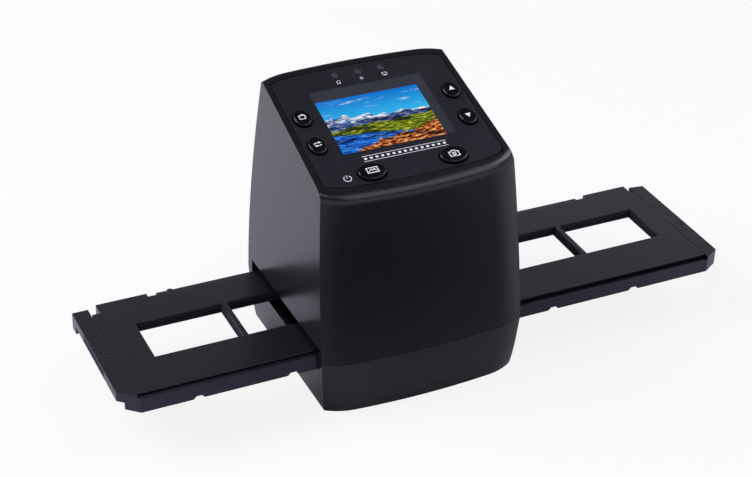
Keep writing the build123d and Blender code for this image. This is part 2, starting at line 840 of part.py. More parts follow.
def gate_cover():
    plate = extrude(Pos(0, 0, guide_bottom) * gate_footprint(), gate_thickness)
    plate -= Pos(0, 0, guide_bottom) * Box(*upper_opening, 3 * gate_thickness)
    return plate - hood_holes()


def backlight_board():
    half_x = light_board[0] / 2
    half_y = light_board[1] / 2
    limits = (light_board_y - half_y, light_board_y + half_y)
    board = block((-half_x, half_x), limits, (light_board_z, light_board_top))
    for x, y in light_screw_places:
        board -= rod(small_hole + screw_gap, light_board_z - over, light_board_top + over, x, y)
    return board


def backlight_screws():
    one = small_screw(light_board_thickness + light_screw_bite)
    return group(Pos(x, y, light_board_top) * one for x, y in light_screw_places)


def backlight_leds():
    one = Pos(0, 0, light_board_top + led_chip_height / 2) * Box(led_chip, led_chip, led_chip_height)
    return group(Pos(x, y) * one for x in led_chip_x for y in led_chip_y)


def light_box():
    high = gate_bottom - diffuser_thickness
    width, length = light_size
    outer = block((-width / 2, width / 2), (-length / 2, length / 2), (light_board_top, high))
    narrow = Rectangle(width - 2 * light_well[0], length - 2 * light_well[1])
    wide = Rectangle(width - 2 * light_wall, length - 2 * light_wall)
    return outer - loft([Pos(0, 0, light_board_top - root) * narrow, Pos(0, 0, high + root) * wide])


def diffuser():
    low = gate_bottom - diffuser_thickness
    width = light_size[0] - 2 * diffuser_inset
    length = light_size[1] - 2 * diffuser_inset
    return block((-width / 2, width / 2), (-length / 2, length / 2), (low, gate_bottom))


# ---------------------------------------------------------------- optics
def hood_holes():
    low = guide_bottom - over
    high = guide_top + hood_flange_thickness + over
    return Part() + [rod(small_hole, low, high, x, y) for x, y in hood_screw_places]


def optics_hood():
    # tapered hood that keeps stray light away from the path between film and lens
    def tapered(low, high, thickness):
        base = Rectangle(hood_base[0] - 2 * thickness, hood_base[1] - 2 * thickness)
        top = Rectangle(hood_top[0] - 2 * thickness, hood_top[1] - 2 * thickness)
        return loft([Pos(0, 0, low) * base, Pos(0, 0, high) * top])

    hood = extrude(Pos(0, 0, guide_top) * Rectangle(*hood_flange), hood_flange_thickness)
    hood += tapered(guide_top, hood_top_z, 0)
    hood -= tapered(guide_top, hood_top_z - hood_wall, hood_wall)
    hood -= rod(barrel_radius + fit_gap, hood_top_z - hood_wall - over, hood_top_z + over)
    return hood - hood_holes()


def hood_screws():
    one = small_screw(hood_flange_thickness + gate_thickness - screw_short)
    top = guide_top + hood_flange_thickness
    return group(Pos(x, y, top) * one for x, y in hood_screw_places)


def lens_barrel():
    low = hood_top_z - barrel_below
    high = hood_top_z + barrel_above
    barrel = rod(barrel_radius, low, high)
    barrel += rod(barrel_flange, hood_top_z, hood_top_z + barrel_flange_height)
    return barrel - rod(barrel_bore, low - over, high + over)


def lens_elements():
    # two elements held in the barrel's bore, each ground round on its outer face
    radius = barrel_bore - element_fit
    front_low = hood_top_z - barrel_below + element_inset
    rear_high = hood_top_z + barrel_above - element_inset
    front = rod(radius, front_low, front_low + element_thickness)
    rear = rod(radius, rear_high - element_thickness, rear_high)
    front = fillet(front.edges().sort_by(Axis.Z)[0], element_round)
    rear = fillet(rear.edges().sort_by(Axis.Z)[-1], element_round)
    return group([front, rear])


def square(size, low, high):
    return block((-size / 2, size / 2), (-size / 2, size / 2), (low, high))


def sensor_mount():
    # square tube with an inner shelf for the filter
    inside = mount_size - 2 * mount_wall
    tube = square(mount_size, hood_top_z, sensor_top)
    tube -= square(inside, hood_top_z - over, shelf_top - mount_shelf)
    tube -= square(inside, shelf_top, sensor_top + over)
    return tube - square(sensor_size, hood_top_z, sensor_top)


def ir_filter():
    return square(filter_size, shelf_top, shelf_top + filter_thickness)


def image_sensor():
    return square(sensor_size, sensor_top - sensor_thickness, sensor_top)


def sensor_board():
    return square(sensor_board_size, sensor_top, sensor_top + sensor_board_thickness)


# ---------------------------------------------------------------- main board
def main_board():
    board = block((board_x, board_inner_x), (board_front_y, board_rear_y), (board_low_z, board_high_z))
    for y, z in board_bosses:
        board -= upright(small_hole + screw_gap, board_x - over, board_inner_x + over, y, z)
    return board


def board_screws():
    one = Rot(0, 90, 0) * small_screw(board_thickness + screw_bite)
    return group(Pos(board_inner_x, y, z) * one for y, z in board_bosses)


def processor_chip():
    y = board_front_y + processor_front_gap
    z = board_low_z + processor_rise
    heights = (board_inner_x, board_inner_x + processor_height)
    return block(heights, (y, y + processor_size), (z, z + processor_size))


def memory_chips():
    length, width = memory_size
    z = board_low_z + memory_rise
    places = [board_rear_y - gap for gap in memory_rear_gaps]
    heights = (board_inner_x, board_inner_x + memory_height)
    return group(block(heights, (y, y + length), (z, z + width)) for y in places)


def socket_shell(z_limits, y_limits, thickness, cavity):
    # flat box, open to the rear
    outer = block((board_x - thickness, board_x), y_limits, z_limits)
    side = (thickness - cavity) / 2
    inner = block(
        (board_x - thickness + side, board_x - side),
        (y_limits[0] + socket_back, y_limits[1] + over),
        (z_limits[0] + socket_skin, z_limits[1] - socket_skin),
    )
    return outer - inner


def card_socket():
    return socket_shell(card_z, card_y, card_thickness, card_slot)


def usb_socket():
    shell = socket_shell(usb_z, usb_y, usb_thickness, usb_thickness - 2 * socket_skin)
    thickness, width = usb_tongue
    middle = sum(usb_z) / 2
    contact_tongue = block(
        (board_x - (usb_thickness + thickness) / 2, board_x - (usb_thickness - thickness) / 2),
        (usb_y[0] + socket_back - root, usb_y[1] - over),
        (middle - width / 2, middle + width / 2),
    )
    return shell + contact_tongue


# ---------------------------------------------------------------- cables
def wider(limits):
    return limits[0] - connector_margin, limits[1] + connector_margin


def connector_on_board(y_limits, z):
    return block(
        (board_inner_x, board_inner_x + connector_height),
        wider(y_limits),
        (z - connector_width / 2, z + connector_width / 2),
    )


def ribbon_connectors():
    low, high = wider(display_lead_y)
    middle_v = ((low + high) / 2 - panel_front_y) / math.cos(slope)
    key_board_side = panel_box(
        connector_width,
        high - low,
        middle_v,
        key_board_bottom - connector_height,
        key_board_bottom,
        display_lead_x,
    )
    board_top = sensor_top + sensor_board_thickness
    sensor_side = block(
        (sensor_connector_x, sensor_connector_x + connector_width),
        wider(sensor_lead_y),
        (board_top, board_top + connector_height),
    )
    return group(
        [
            key_board_side,
            sensor_side,
            connector_on_board(display_lead_y, display_lead_z),
            connector_on_board(sensor_lead_y, sensor_lead_z),
        ]
    )


def flat_lead(points, radius, limits):
    path = FilletPolyline(*points, radius=radius)
    return extrude(Plane.XZ.offset(-limits[1]) * trace(path, ribbon), limits[1] - limits[0])


def display_ribbon():
    # it runs up past the key board's plane and is trimmed there to the slope of the connector
    lead = flat_lead(
        [
            (display_lead_x, panel_rear_z),
            (display_lead_x, display_lead_z),
            (board_inner_x + connector_height, display_lead_z),
        ],
        display_lead_bend,
        display_lead_y,
    )
    return lead - above_panel(connector_height - key_board_bottom)


def sensor_ribbon():
    top = sensor_top + sensor_board_thickness + connector_height / 2
    return flat_lead(
        [
            (sensor_connector_x, top),
            (sensor_lead_x, top),
            (sensor_lead_x, sensor_lead_z),
            (board_inner_x + connector_height, sensor_lead_z),
        ],
        sensor_lead_bend,
        sensor_lead_y,
    )


def backlight_lead():
    # round lead from the backlight board, up behind the film gate, to the main board's lower edge
    low = light_board_top + lead_connector / 2
    rear_y = gate_rear_y + lead_radius + lead_air
    points = [
        (lead_start_y, low),
        (rear_y, low),
        (rear_y, guide_top + lead_turns[0]),
        (lead_socket_y, guide_top + lead_turns[1]),
        (lead_socket_y, lead_socket_z),
    ]
    path = Plane.YZ.offset(backlight_lead_x) * FilletPolyline(*points, radius=list(lead_bends))
    return sweep(Plane(path @ 0, z_dir=path % 0) * Circle(lead_radius), path)


def lead_connectors():
    side = lead_connector / 2
    light_side = block(
        (backlight_lead_x - side, backlight_lead_x + side),
        (lead_start_y - lead_connector - lead_connector_edge, lead_start_y),
        (light_board_top, light_board_top + lead_connector),
    )
    board_side = block(
        (board_inner_x, backlight_lead_x + side),
        (lead_socket_y - lead_socket_half, lead_socket_y + lead_socket_half),
        (lead_socket_z, lead_socket_z + lead_connector),
    )
    return group([light_side, board_side])


# ---------------------------------------------------------------- film holder
def holder_outline():
    return make_face(
        Polyline(
            (holder_left, holder_front + corner_cut),
            (holder_left + left_corner, holder_front),
            (holder_right - corner_cut, holder_front),
            (holder_right, holder_front + right_corner),
            (holder_right, holder_rear - end_step - end_slant),
            (right_bar, holder_rear - end_step),
            (right_bar, holder_rear),
            (left_bar, holder_rear),
            (left_bar, holder_rear - end_step),
            (holder_left, holder_rear - end_step),
            (holder_left, holder_front + corner_cut),
        )
    )


def finger_recess():
    # the front rail dips in its middle, with a ramp at each end
    high = holder_top + over
    low = holder_split + finger_skin
    outline = Polyline(
        (-finger_half, high),
        (-finger_half, rail_left_top),
        (-finger_half + finger_ramp, low),
        (finger_half - finger_ramp, low),
        (finger_half, rail_right_top),
        (finger_half, high),
        (-finger_half, high),
    )
    depth = rail_right_inner - holder_front + over
    return extrude(Plane.XZ.offset(-rail_right_inner) * make_face(outline), depth)


def at_each_frame(solid):
    return Part() + [Pos(x, 0, 0) * solid for x in frame_centres]


def pegs(radius, low, high):
    # small pegs between the frames that the film's perforations drop over
    places = [-field_half + i * frame_pitch for i in range(frame_count + 1)]
    return Part() + [rod(radius, low, high, x, y) for x in places for y in (-perforation_y, perforation_y)]


def holder_frame():
    high = holder_top + over
    body = extrude(Pos(0, 0, holder_bottom) * holder_outline(), holder_top - holder_bottom)
    # between the rails the underside is hollow, out through both ends
    under = (holder_front + under_rail_front, holder_rear - under_rail_rear)
    body -= block((holder_left - over, holder_right + over), under, (holder_bottom - over, plate_bottom))
    # room for the cover, and the two heights of the front rail
    body -= block((left_bar, right_bar), (rail_left_inner, holder_rear + over), (holder_split, high))
    body -= block((0, right_bar), (rail_right_inner, cover_front), (holder_split - front_groove, high))
    body -= block((left_bar, 0), (holder_front - over, rail_left_inner), (rail_left_top, high))
    right_part = (0, holder_right - corner_cut)
    body -= block(right_part, (holder_front - over, rail_right_inner), (rail_right_top, high))
    body -= finger_recess()
    # rear rail beside the cover's cut-back edge, with the knob that the cover snaps over
    body += block(
        (hinge_left[1] + hinge_bite, hinge_right[0] - hinge_bite),
        (cover_rear_cut + rear_rail_gap, holder_rear),
        (holder_split - root, rail_rear_top),
    )
    body += rod(knob_radius, holder_split - root, rail_rear_top + knob_height, knob_x, knob_y)
    # windows and film channel
    lower_window = Box(frame_width - 2 * gate_margin, frame_height - 2 * gate_margin, 4 * frame_thickness)
    body -= at_each_frame(Pos(0, 0, holder_bottom) * lower_window)
    channel = (holder_split - film_depth, holder_split + over)
    body -= block((left_bar + film_end, right_bar - film_end), (-film_width / 2, film_width / 2), channel)
    body += pegs(peg_radius, holder_split - film_depth - root, holder_split + peg_height)
    # pockets of the hinge blocks
    pocket_y = (hinge_block_y - cover_gap, holder_rear + over)
    pocket_z = (holder_bottom - over, high)
    body -= block((left_bar, hinge_left[1] + hinge_bite), pocket_y, pocket_z)
    body -= block((hinge_right[0] - hinge_bite, right_bar), pocket_y, pocket_z)
    for x in frame_centres:
        body -= detent_notch(detent_x - x)
    body -= pin_bores()
    return body - end_arrows()


def detent_notch(x):
    # one for each film frame, found by the spring's nose when that frame is over the aperture
    half = notch_length / 2
    profile = Polyline(
        (x - half, holder_bottom - root),
        (x - half, holder_bottom),
        (x - half + notch_height, holder_bottom + notch_height),
        (x + half - notch_height, holder_bottom + notch_height),
        (x + half, holder_bottom),
        (x + half, holder_bottom - root),
        (x - half, holder_bottom - root),
    )
    return extrude(Plane.XZ.offset(-(holder_front + notch_depth)) * make_face(profile), notch_depth + over)


def end_arrows():
    # engraved outlines of arrow heads that show which way the holder is put in
    head = make_face(Polyline((-arrow_size, 0), (0, arrow_size / 2), (0, -arrow_size / 2), (-arrow_size, 0)))
    line = head - offset(head, amount=-arrow_line)
    solid = Pos(0, 0, holder_top - arrow_depth) * extrude(line, arrow_depth + over)
    left = Pos(holder_left + left_arrow[0], left_arrow[1]) * solid
    return left + Pos(holder_right + right_arrow[0], right_arrow[1]) * solid


def pin_limits():
    left = (left_bar - pin_seat, hinge_left[0] + pin_bite)
    right = (hinge_right[1] - pin_bite, right_bar + pin_seat)
    return [left, right]


def pin_bores():
    radius = pin_radius + pin_clearance
    bores = [upright(radius, low - pin_play, high + pin_play, pin_y, pin_z) for low, high in pin_limits()]
    return Part() + bores


def holder_cover():
    limits = (left_bar + cover_gap, right_bar - cover_gap)
    cover = block(limits, (cover_front, cover_rear_cut), (holder_split, holder_top))
    for hinge in (hinge_left, hinge_right):
        cover += block(hinge, (hinge_block_y, holder_rear), (hinge_bottom, holder_top))
    narrow = Rectangle(frame_width - 2 * window_bevel, frame_height - 2 * window_bevel)
    full = Rectangle(frame_width, frame_height)
    cover -= at_each_frame(loft([Pos(0, 0, holder_split) * narrow, Pos(0, 0, holder_top) * full]))
    cover -= pegs(peg_radius + peg_gap, holder_split - over, holder_split + peg_height + cover_gap)
    notch_y = (holder_rear - hinge_notch_depth, holder_rear + over)
    through = (holder_bottom - over, holder_top + over)
    cover -= block((limits[0] - over, hinge_left[0]), notch_y, through)
    cover -= block((hinge_right[1], limits[1] + over), notch_y, through)
    cover -= rod(knob_radius + cover_gap, *through, knob_x, knob_y)
    return cover - pin_bores()


def hinge_pins():
    pins = []
    for low, high in pin_limits():
        pin = upright(pin_radius, low, high, pin_y, pin_z)
        pins.append(chamfer(pin.edges().filter_by(GeomType.CIRCLE), pin_chamfer))
    return group(pins)


# ---------------------------------------------------------------- the set of pieces
pieces = {
    "base_shell": base_shell(),
    "rubber_feet": rubber_feet(),
    "upper_housing": upper_housing(),
    "case_screws": case_screws(),
    "top_panel": top_panel(),
    "display_window": display_window(),
    "display_module": display_module(),
    "display_frame": display_frame(),
    "key_board": key_board(),
    "panel_screws": panel_screws(),
    "tact_switches": tact_switches(),
    "status_leds": status_leds(),
    "led_windows": led_windows(),
    "film_gate": film_gate(),
    "gate_cover": gate_cover(),
    "detent_spring": detent_spring(),
    "spring_screw": spring_screw(),
    "diffuser": diffuser(),
    "light_box": light_box(),
    "backlight_board": backlight_board(),
    "backlight_leds": backlight_leds(),
    "backlight_screws": backlight_screws(),
    "optics_hood": optics_hood(),
    "hood_screws": hood_screws(),
    "lens_barrel": lens_barrel(),
    "lens_elements": lens_elements(),
    "ir_filter": ir_filter(),
    "sensor_mount": sensor_mount(),
    "image_sensor": image_sensor(),
    "sensor_board": sensor_board(),
    "main_board": main_board(),
    "board_screws": board_screws(),
    "processor_chip": processor_chip(),
    "memory_chips": memory_chips(),
    "card_socket": card_socket(),
    "usb_socket": usb_socket(),
    "ribbon_connectors": ribbon_connectors(),
    "lead_connectors": lead_connectors(),
    "display_ribbon": display_ribbon(),
    "sensor_ribbon": sensor_ribbon(),
    "backlight_lead": backlight_lead(),
}
for name, (x, v, size) in key_places.items():
    pieces[name + "_button"] = key_cap(x, v, size)
    pieces[name + "_plunger"] = key_plunger(x, v)

holder_pieces = {
    "holder_frame": holder_frame(),
    "holder_cover": holder_cover(),
    "hinge_pins": hinge_pins(),
}
for name, piece in holder_pieces.items():
    pieces[name] = group(Pos(holder_shift, 0, 0) * solid for solid in piece.solids())

for name, solid in pieces.items():
    export_step(solid, f"parts/{name}.step")
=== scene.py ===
import json
import math

import bmesh
import bpy
from mathutils import Matrix, Vector
from mathutils.bvhtree import BVHTree


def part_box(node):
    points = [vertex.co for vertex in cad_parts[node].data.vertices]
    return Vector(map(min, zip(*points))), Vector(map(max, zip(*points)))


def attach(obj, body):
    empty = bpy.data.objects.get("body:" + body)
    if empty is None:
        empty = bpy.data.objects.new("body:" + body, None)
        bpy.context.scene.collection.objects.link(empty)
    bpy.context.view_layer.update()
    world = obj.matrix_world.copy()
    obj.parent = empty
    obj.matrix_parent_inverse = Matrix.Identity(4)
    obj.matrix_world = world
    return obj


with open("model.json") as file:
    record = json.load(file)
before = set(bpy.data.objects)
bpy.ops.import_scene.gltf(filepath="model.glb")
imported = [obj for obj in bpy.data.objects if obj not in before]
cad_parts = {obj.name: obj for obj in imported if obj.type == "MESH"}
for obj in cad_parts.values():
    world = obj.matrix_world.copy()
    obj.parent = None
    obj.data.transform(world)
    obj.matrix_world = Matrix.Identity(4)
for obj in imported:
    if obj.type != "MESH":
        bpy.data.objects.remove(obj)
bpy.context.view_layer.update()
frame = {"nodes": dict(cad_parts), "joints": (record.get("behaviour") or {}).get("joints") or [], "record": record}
nodes = frame["nodes"]
mm = 0.001
print("frame loaded:", len(nodes), "nodes")


def linear(hexColour):
    # sRGB hex to the linear colour that shaders and lamps work in
    channels = [int(hexColour[i:i + 2], 16) / 255 for i in (1, 3, 5)]
    return [c / 12.92 if c <= 0.04045 else ((c + 0.055) / 1.055) ** 2.4 for c in channels] + [1.0]


def addNode(tree, kind, settings=None, links=None):
    # settings name either a property of the node or one of its inputs, links feed its inputs
    node = tree.nodes.new(kind)
    for name, value in (settings or {}).items():
        if isinstance(name, str) and hasattr(node, name):
            setattr(node, name, value)
        else:
            node.inputs[name].default_value = value
    for name, source in (links or {}).items():
        tree.links.new(source, node.inputs[name])
    return node


def emptyMaterial(name):
    material = bpy.data.materials.new(name)
    material.use_nodes = True
    material.node_tree.nodes.clear()
    return material, material.node_tree


def finishMaterial(tree, shader):
    addNode(tree, "ShaderNodeOutputMaterial", links={"Surface": shader})


def objectPoint(tree):
    return addNode(tree, "ShaderNodeTexCoord").outputs["Object"]


patternLow, patternHigh = 0.3, 0.7     # a noise stays mostly between these
edgeSamples = 6


def noise(tree, point, sizeMm, detail=3.0, roughness=0.55):
    # sizeMm is the real width of one lump of the pattern
    settings = {"Scale": 1 / (sizeMm * mm), "Detail": detail, "Roughness": roughness}
    return addNode(tree, "ShaderNodeTexNoise", settings, {"Vector": point}).outputs["Fac"]


def ramp(tree, factor, stops):
    node = addNode(tree, "ShaderNodeValToRGB", links={"Fac": factor})
    elements = node.color_ramp.elements
    while len(elements) < len(stops):
        elements.new(0.5)
    for element, (place, colour) in zip(elements, stops):
        element.position = place
        element.color = linear(colour)
    return node.outputs["Color"]


def twoTone(tree, factor, look):
    return ramp(tree, factor, [(patternLow, look["dark"]), (patternHigh, look["light"])])


def spread(tree, factor, low, high):
    # turns a pattern's middle range into values from low to high
    settings = {"From Min": patternLow, "From Max": patternHigh, "To Min": low, "To Max": high}
    return addNode(tree, "ShaderNodeMapRange", settings, {"Value": factor}).outputs["Result"]


def between(tree, low, high, value):
    # 0 below low, 1 above high
    settings = {"From Min": low, "From Max": high, "interpolation_type": "SMOOTHSTEP"}
    return addNode(tree, "ShaderNodeMapRange", settings, {"Value": value}).outputs["Result"]


def maths(tree, operation, first, second):
    links, settings = {}, {"operation": operation}
    for index, value in enumerate((first, second)):
        if isinstance(value, (int, float)):
            settings[index] = value
        else:
            links[index] = value
    return addNode(tree, "ShaderNodeMath", settings, links).outputs["Value"]


def laidOver(tree, below, mask, above, blend="MIX"):
    # below and above are each a hex colour or a node's output
    links, settings = {0: mask}, {"data_type": "RGBA", "blend_type": blend}
    for socket, colour in ((6, below), (7, above)):    # the colour sockets of a mix node
        if isinstance(colour, str):
            settings[socket] = linear(colour)
        else:
            links[socket] = colour
    return addNode(tree, "ShaderNodeMix", settings, links).outputs[2]


def softEdges(tree, radiusMm):
    # moulded edges catch light on a small round
    settings = {"samples": edgeSamples, "Radius": radiusMm * mm}
    return addNode(tree, "ShaderNodeBevel", settings).outputs["Normal"]


def bump(tree, height, distanceMm, strength, normal=None):
    links = {"Height": height}
    if normal is not None:
        links["Normal"] = normal
    settings = {"Distance": distanceMm * mm, "Strength": strength}
    return addNode(tree, "ShaderNodeBump", settings, links).outputs["Normal"]


def shadedWallMask(tree, point, channel):
    # 1 in the film windows below the top face, where the mould is matt and the walls are painted near black as
    # shade, so that no stray light shows
    place = addNode(tree, "ShaderNodeSeparateXYZ", links={"Vector": point}).outputs
    across = maths(tree, "LESS_THAN", maths(tree, "ABSOLUTE", place["Y"], 0.0), channel["halfWidth"])
    below = maths(tree, "LESS_THAN", place["Z"], channel["top"])
    return maths(tree, "MULTIPLY", across, below)


grainDetail, cloudDetail = 4.0, 2.0


def mouldedPlastic(name, look):
    # plastic from a spark-eroded mould: a fine grain in height and gloss, slow clouds in depth of colour
    material, tree = emptyMaterial(name)
    point = objectPoint(tree)
    grain = noise(tree, point, look["grainMm"], grainDetail)
    cloud = noise(tree, point, look["cloudMm"], cloudDetail)
    colour = twoTone(tree, cloud, look)
    middle, reach = look["roughness"], look["glossSpread"]
    gloss = spread(tree, grain, middle - reach, middle + reach)
    # the film windows' walls: a near-black colour that is painted shade, and a matt gloss
    if "channel" in look:
        channel = look["channel"]
        paintedWallShade = shadedWallMask(tree, point, channel)
        colour = laidOver(tree, colour, paintedWallShade, twoTone(tree, grain, channel))
        gloss = maths(tree, "MAXIMUM", gloss, maths(tree, "MULTIPLY", paintedWallShade, channel["roughness"]))
    edge = softEdges(tree, look["edgeMm"]) if look["edgeMm"] else None
    normal = bump(tree, grain, look["reliefMm"], look["bump"], edge)
    settings = {"IOR": look["ior"], "Specular IOR Level": look["shine"],
                "Specular Tint": linear(look.get("sheen", "#ffffff")),
                "Coat Weight": look.get("skin", 0.0), "Coat Roughness": look.get("skinRoughness", 0.3)}
    shader = addNode(tree, "ShaderNodeBsdfPrincipled", settings,
                     {"Base Color": colour, "Roughness": gloss, "Normal": normal})
    finishMaterial(tree, shader.outputs["BSDF"])
    return material


def metalSheet(name, look):
    # rolled or turned metal: fine lines along one axis in its gloss
    material, tree = emptyMaterial(name)
    point = objectPoint(tree)
    squeeze = {"Scale": (1.0, look["squeeze"], look["squeeze"])}
    stretched = addNode(tree, "ShaderNodeMapping", squeeze, {"Vector": point}).outputs["Vector"]
    lines = noise(tree, stretched, look["lineMm"])
    colour = twoTone(tree, lines, look)
    gloss = spread(tree, lines, *look["roughness"])
    normal = bump(tree, lines, look["reliefMm"], look["bump"])
    shader = addNode(tree, "ShaderNodeBsdfPrincipled", {"Metallic": 1.0},
                     {"Base Color": colour, "Roughness": gloss, "Normal": normal})
    finishMaterial(tree, shader.outputs["BSDF"])
    return material


def solderMaskBoard(name, look):
    # glass-fibre board under green lacquer: copper runs show as a net of lighter green lines
    material, tree = emptyMaterial(name)
    point = objectPoint(tree)
    weave = noise(tree, point, look["weaveMm"], look["weaveDetail"])
    settings = {"feature": "DISTANCE_TO_EDGE", "Scale": 1 / (look["runMm"] * mm)}
    cells = addNode(tree, "ShaderNodeTexVoronoi", settings, {"Vector": point}).outputs["Distance"]
    runs = maths(tree, "LESS_THAN", cells, look["runShare"])
    colour = laidOver(tree, twoTone(tree, weave, look), runs, look["copper"])
    normal = bump(tree, runs, look["reliefMm"], look["bump"])
    shader = addNode(tree, "ShaderNodeBsdfPrincipled", {"Roughness": look["roughness"], "IOR": look["ior"]},
                     {"Base Color": colour, "Normal": normal})
    finishMaterial(tree, shader.outputs["BSDF"])
    return material


def clearGlass(name, look):
    # ground and coated glass, with a faint tint and almost no scatter
    material, tree = emptyMaterial(name)
    point = objectPoint(tree)
    film = noise(tree, point, look["filmMm"], look["filmDetail"])
    gloss = spread(tree, film, *look["roughness"])
    settings = {"Base Color": linear(look["tint"]), "Transmission Weight": 1.0, "IOR": look["ior"]}
    shader = addNode(tree, "ShaderNodeBsdfPrincipled", settings, {"Roughness": gloss})
    finishMaterial(tree, shader.outputs["BSDF"])
    return material


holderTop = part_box("holder_cover")[1][2]

finishes = {
    # satin black ABS of the two casing shells: almost no colour of its own, it lives by soft reflections
    "casing": mouldedPlastic("satinBlackAbs", {
        "dark": "#0f0e13", "light": "#121116", "grainMm": 0.35, "cloudMm": 22.0, "roughness": 0.36,
        "glossSpread": 0.02, "reliefMm": 0.02, "bump": 0.06, "ior": 1.54, "shine": 0.02, "sheen": "#e2dcff",
        "skin": 0.8, "skinRoughness": 0.24, "edgeMm": 0.35}),
    # the panel has a flatter, slightly bluer mould texture than the casing
    "panel": mouldedPlastic("mattPanelAbs", {
        "dark": "#1b1b20", "light": "#1f1f24", "grainMm": 0.25, "cloudMm": 15.0, "roughness": 0.44,
        "glossSpread": 0.04, "reliefMm": 0.02, "bump": 0.12, "ior": 1.5, "shine": 0.2, "sheen": "#e2e0ff",
        "edgeMm": 0.12}),
    # the film holder is a softer satin, with a trace of violet
    "holder": mouldedPlastic("satinHolderAbs", {
        "dark": "#0a090d", "light": "#0d0c10", "grainMm": 0.3, "cloudMm": 18.0, "roughness": 0.34,
        "glossSpread": 0.04, "reliefMm": 0.02, "bump": 0.1, "ior": 1.5, "shine": 0.62, "sheen": "#e2deff",
        # the window walls' near-black colours below are painted shade, not the plastic's own colour
        "edgeMm": 0.4, "channel": {"halfWidth": 12.8 * mm, "top": holderTop - 0.5 * mm, "roughness": 0.9,
                                   "dark": "#020203", "light": "#050506"}}),
    # polished black caps with a sharp highlight
    "key": mouldedPlastic("polishedBlackAbs", {
        "dark": "#050507", "light": "#08080b", "grainMm": 1.6, "cloudMm": 5.0, "roughness": 0.16,
        "glossSpread": 0.02, "reliefMm": 0.01, "bump": 0.03, "ior": 1.54, "shine": 0.25, "edgeMm": 0}),
    "plunger": mouldedPlastic("beigeNylon", {
        "dark": "#a89a80", "light": "#b8ab92", "grainMm": 0.3, "cloudMm": 2.0, "roughness": 0.5,
        "glossSpread": 0.05, "reliefMm": 0.02, "bump": 0.2, "ior": 1.53, "shine": 0.4, "edgeMm": 0}),
    # moulded rubber pads, dull, with a coarse grip grain
    "foot_pad": mouldedPlastic("gripRubber", {
        "dark": "#1e1e20", "light": "#2a2a2c", "grainMm": 0.5, "cloudMm": 3.0, "roughness": 0.85,
        "glossSpread": 0.05, "reliefMm": 0.1, "bump": 0.5, "ior": 1.5, "shine": 0.2, "edgeMm": 0.2}),
    # smoked acrylic cover of the display: flat grey with a soft sheen
    "display_window": mouldedPlastic("smokedAcrylic", {
        "dark": "#303239", "light": "#34363d", "grainMm": 6.0, "cloudMm": 30.0, "roughness": 0.3,
        "glossSpread": 0.01, "reliefMm": 0.002, "bump": 0.01, "ior": 1.49, "shine": 0.18, "edgeMm": 0}),
    "display": mouldedPlastic("displayGlass", {
        "dark": "#0c0d10", "light": "#111216", "grainMm": 4.0, "cloudMm": 20.0, "roughness": 0.12,
        "glossSpread": 0.02, "reliefMm": 0.005, "bump": 0.02, "ior": 1.5, "shine": 0.4, "edgeMm": 0}),
    "black_plastic": mouldedPlastic("mattBlackNylon", {
        "dark": "#0b0b0c", "light": "#101012", "grainMm": 0.4, "cloudMm": 6.0, "roughness": 0.75,
        "glossSpread": 0.06, "reliefMm": 0.04, "bump": 0.3, "ior": 1.5, "shine": 0.2, "edgeMm": 0}),
    "circuit_board": solderMaskBoard("solderMaskBoard", {
        "dark": "#0b3d22", "light": "#0f4a2a", "copper": "#2f7d4c", "weaveMm": 0.4, "weaveDetail": 2.0,
        "runMm": 3.0, "runShare": 0.08, "reliefMm": 0.03, "bump": 0.4, "roughness": 0.32, "ior": 1.5}),
    "chip": mouldedPlastic("epoxyPackage", {
        "dark": "#141415", "light": "#1b1b1d", "grainMm": 0.15, "cloudMm": 2.0, "roughness": 0.6,
        "glossSpread": 0.05, "reliefMm": 0.02, "bump": 0.3, "ior": 1.55, "shine": 0.3, "edgeMm": 0}),
    "steel": metalSheet("platedSteel", {
        "dark": "#a9adb2", "light": "#c9ccd0", "lineMm": 0.4, "squeeze": 12.0, "roughness": (0.24, 0.38),
        "reliefMm": 0.01, "bump": 0.25}),
    "white_plastic": mouldedPlastic("opalNylon", {
        "dark": "#dcdcd6", "light": "#e8e8e3", "grainMm": 0.5, "cloudMm": 5.0, "roughness": 0.5,
        "glossSpread": 0.05, "reliefMm": 0.02, "bump": 0.15, "ior": 1.5, "shine": 0.4, "edgeMm": 0}),
    "led": mouldedPlastic("phosphorLens", {
        "dark": "#e2d98f", "light": "#efe8b4", "grainMm": 0.4, "cloudMm": 1.5, "roughness": 0.2,
        "glossSpread": 0.04, "reliefMm": 0.01, "bump": 0.1, "ior": 1.5, "shine": 0.4, "edgeMm": 0}),
    # unlit light guides: milky grey acrylic that looks a little deeper in places
    "light_guide": mouldedPlastic("milkyGreyAcrylic", {
        "dark": "#2b2c32", "light": "#44454d", "grainMm": 0.5, "cloudMm": 2.4, "roughness": 0.25,
        "glossSpread": 0.03, "reliefMm": 0.01, "bump": 0.06, "ior": 1.49, "shine": 0.25, "edgeMm": 0.3}),
    "lens_glass": clearGlass("coatedLensGlass", {
        "tint": "#dff0ee", "filmMm": 3.0, "filmDetail": 1.0, "roughness": (0.01, 0.04), "ior": 1.6}),
    "filter_glass": clearGlass("filterGlass", {
        "tint": "#bfe6e8", "filmMm": 3.0, "filmDetail": 1.0, "roughness": (0.01, 0.05), "ior": 1.52}),
    "flat_cable": mouldedPlastic("polyesterCable", {
        "dark": "#c9c8c0", "light": "#dad9d2", "grainMm": 0.8, "cloudMm": 6.0, "roughness": 0.4,
        "glossSpread": 0.04, "reliefMm": 0.02, "bump": 0.15, "ior": 1.55, "shine": 0.4, "edgeMm": 0}),
    "lead": mouldedPlastic("vinylLead", {
        "dark": "#19191b", "light": "#222224", "grainMm": 0.4, "cloudMm": 3.0, "roughness": 0.5,
        "glossSpread": 0.05, "reliefMm": 0.02, "bump": 0.2, "ior": 1.52, "shine": 0.3, "edgeMm": 0}),
}


def dressNodes():
    for part in frame["record"]["subparts"]:
        mesh = nodes[part["node"]].data
        mesh.materials.clear()
        mesh.materials.append(finishes[part["material_slot"]])


